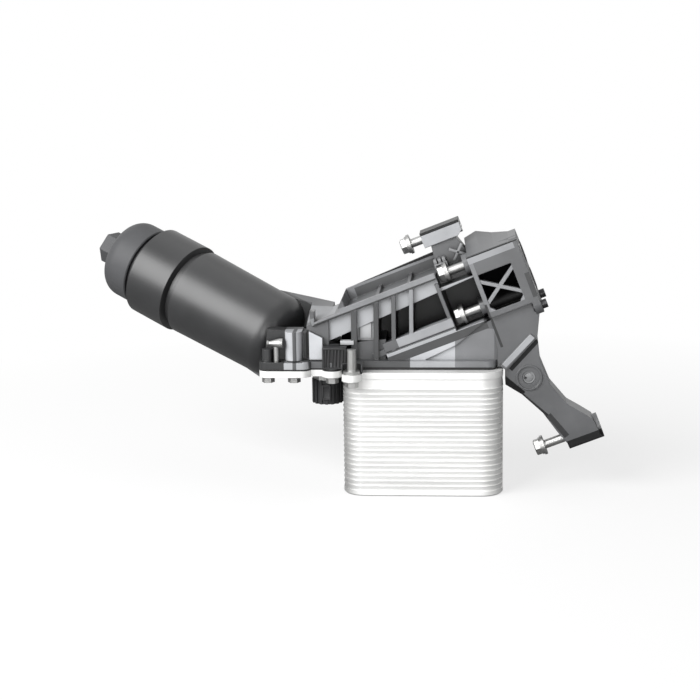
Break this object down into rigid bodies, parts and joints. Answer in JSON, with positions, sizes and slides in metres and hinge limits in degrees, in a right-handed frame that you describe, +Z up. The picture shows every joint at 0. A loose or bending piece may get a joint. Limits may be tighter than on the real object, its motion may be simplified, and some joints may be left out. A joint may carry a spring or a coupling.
{
  "type": "oil filter housing",
  "caption": "Oil filter housing with a screw-capped canister, a ribbed frame with a support arm, and a plate oil cooler underneath.",
  "frame": {"origin": "centre of the flat foot of the cooler stack, on which the part stands", "axes": "+Z up through the cooler stack, +X towards the engine flange and the support arm, -Y towards the side with the cross-braced window"},
  "size_m": [0.4796, 0.1888, 0.2437],
  "materials": {
    "housing_plastic": "satin black moulded plastic",
    "cap_plastic": "matt black moulded plastic",
    "cooler_alloy": "bright brazed sheet",
    "plate_alloy": "bright rolled sheet",
    "gasket_rubber": "matt",
    "seal_rubber": "matt",
    "zinc_steel": "bright zinc plate",
    "sensor_steel": "zinc plate",
    "plug_plastic": "matt black",
    "pin_brass": "bright",
    "inner_plastic": "matt",
    "spring_steel": "drawn wire",
    "sleeve_steel": "turned",
    "filter_paper": "pleated, resin treated",
    "disc_plastic": "matt",
    "bolt_steel": "zinc plate",
    "washer_steel": "zinc plate"
  },
  "bodies": {
    "housing": {"housing": "housing_plastic", "cooler_stack": "cooler_alloy", "base_plate": "plate_alloy", "plate_screws": "zinc_steel", "foot_gasket": "gasket_rubber", "post_sleeve": "zinc_steel", "bleed_nipple": "zinc_steel", "sensor_body": "sensor_steel", "sensor_washer": "seal_rubber", "sensor_shroud": "plug_plastic", "sensor_pins": "pin_brass", "standpipe": "inner_plastic", "spring_cup": "inner_plastic", "bypass_spring": "spring_steel", "lug_sleeve": "sleeve_steel", "arm_sleeve": "sleeve_steel", "flange_sleeves": "sleeve_steel", "flange_seals": "seal_rubber", "flange_dowels": "sleeve_steel"},
    "poppet": {"bypass_poppet": "inner_plastic"},
    "element": {"filter_pleats": "filter_paper", "element_core": "inner_plastic", "element_top_disc": "disc_plastic", "element_bottom_disc": "disc_plastic"},
    "cap": {"screw_cap": "cap_plastic", "cap_o_ring": "seal_rubber"},
    "upper_washer": {"upper_washer": "washer_steel"},
    "upper_bolt": {"upper_bolt": "bolt_steel"},
    "lower_washer": {"lower_washer": "washer_steel"},
    "lower_bolt": {"lower_bolt": "bolt_steel"},
    "top_washer": {"top_washer": "washer_steel"},
    "top_bolt": {"top_bolt": "bolt_steel"},
    "arm_washer": {"arm_washer": "washer_steel"},
    "arm_bolt": {"arm_bolt": "bolt_steel"}
  },
  "joints": [
    {"name": "cap_travel", "type": "slide", "parent": "housing", "child": "element", "axis": [-0.8379, 0.4159, 0.3535], "range_m": [0, 0.01401]},
    {"name": "cap_turn", "type": "hinge", "parent": "element", "child": "cap", "pos_m": [-0.25936, 0.08275, 0.18526], "axis": [-0.8379, 0.4159, 0.3535], "range_deg": [0, 1260]},
    {"name": "bypass_lift", "type": "slide", "parent": "housing", "child": "poppet", "axis": [-0.8379, 0.4159, 0.3535], "range_m": [0, 0.003], "stiffness_N_per_m": 400, "springref_m": -0.005, "deforming": ["bypass_spring"]},
    {"name": "upper_bolt_slide", "type": "slide", "parent": "housing", "child": "upper_washer", "axis": [0.9336, 0, 0.3584], "range_m": [0, 0.015]},
    {"name": "upper_bolt_turn", "type": "hinge", "parent": "upper_washer", "child": "upper_bolt", "pos_m": [0.02098, -0.014, 0.19911], "axis": [0.9336, 0, 0.3584], "continuous": true},
    {"name": "lower_bolt_slide", "type": "slide", "parent": "housing", "child": "lower_washer", "axis": [0.9336, 0, 0.3584], "range_m": [0, 0.015]},
    {"name": "lower_bolt_turn", "type": "hinge", "parent": "lower_washer", "child": "lower_bolt", "pos_m": [0.03567, -0.014, 0.16084], "axis": [0.9336, 0, 0.3584], "continuous": true},
    {"name": "top_bolt_slide", "type": "slide", "parent": "housing", "child": "top_washer", "axis": [0.9336, 0, 0.3584], "range_m": [0, 0.011]},
    {"name": "top_bolt_turn", "type": "hinge", "parent": "top_washer", "child": "top_bolt", "pos_m": [-0.01347, 0.02, 0.2191], "axis": [0.9336, 0, 0.3584], "continuous": true},
    {"name": "arm_bolt_slide", "type": "slide", "parent": "housing", "child": "arm_washer", "axis": [0.9336, 0, 0.3584], "range_m": [0, 0.02]},
    {"name": "arm_bolt_turn", "type": "hinge", "parent": "arm_washer", "child": "arm_bolt", "pos_m": [0.10771, -0.015, 0.04014], "axis": [0.9336, 0, 0.3584], "continuous": true}
  ],
  "couplings": [
    {"joint": "cap_travel", "follows": "cap_turn", "m_per_rad": 0.00063662}
  ]
}
